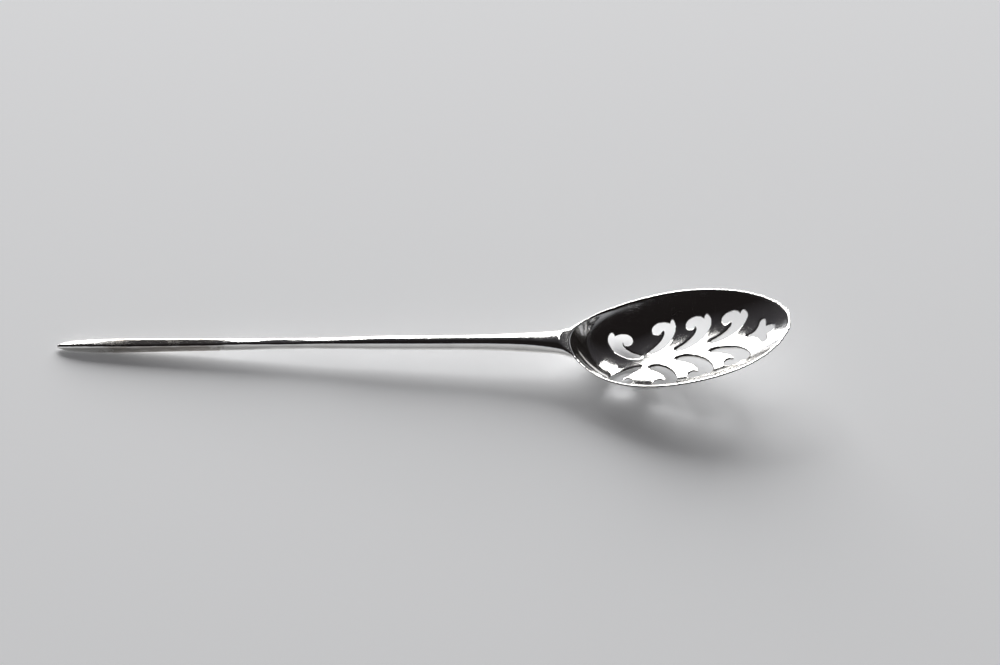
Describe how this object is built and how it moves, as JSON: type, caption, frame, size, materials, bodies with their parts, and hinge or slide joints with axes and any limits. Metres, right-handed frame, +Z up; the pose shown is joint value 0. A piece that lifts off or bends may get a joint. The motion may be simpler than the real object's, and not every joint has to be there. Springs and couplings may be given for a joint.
{
  "type": "mote spoon",
  "caption": "Slender skimming spoon with a small oval pierced bowl and a long tapering stem that ends in a blunt point.",
  "frame": {"origin": "on the table, under the middle of the spoon's length and width", "axes": "+X from the point of the stem to the tip of the bowl, +Y to the left side, +Z up out of the bowl"},
  "size_m": [0.136, 0.024, 0.0137],
  "materials": {
    "silver": "old polished silver with fine wear"
  },
  "bodies": {
    "root": {"mote_spoon": "silver"}
  },
  "joints": []
}
